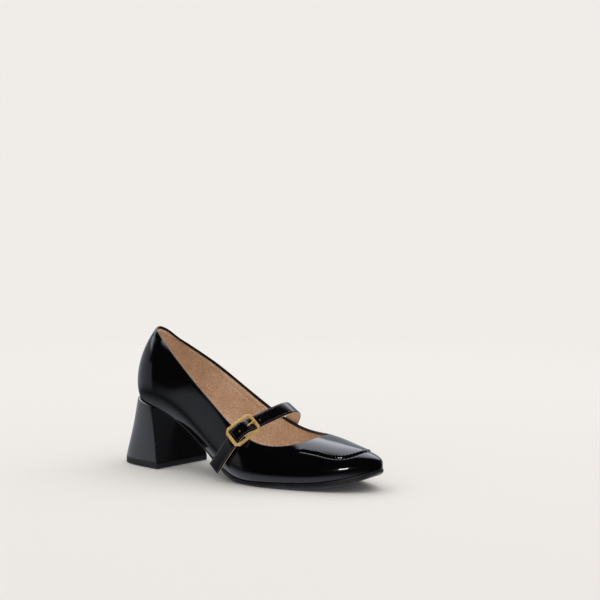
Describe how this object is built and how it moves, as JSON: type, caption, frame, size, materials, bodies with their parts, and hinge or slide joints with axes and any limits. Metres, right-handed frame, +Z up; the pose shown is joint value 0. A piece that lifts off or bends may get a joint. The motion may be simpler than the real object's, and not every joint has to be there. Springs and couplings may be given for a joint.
{
  "type": "mary jane shoe",
  "caption": "Right-foot mary jane pump with a flared block heel, a strap over the instep and a corner-cut buckle.",
  "frame": {"origin": "on the floor, at the middle of the heel's top piece", "axes": "+X to the toe, +Y to the inner (medial) side of the foot, +Z up"},
  "size_m": [0.2524, 0.0878, 0.1185],
  "materials": {
    "patent_leather": "high gloss patent",
    "sole_rubber": "satin",
    "lining_leather": "matte, fine nap",
    "buckle_brass": "brushed satin"
  },
  "bodies": {
    "root": {"upper": "patent_leather", "outsole": "sole_rubber", "insole": "lining_leather", "heel_block": "patent_leather", "heel_top_piece": "sole_rubber", "strap": "patent_leather", "buckle_chape": "patent_leather", "buckle_frame": "buckle_brass", "buckle_prong": "buckle_brass"}
  },
  "joints": []
}
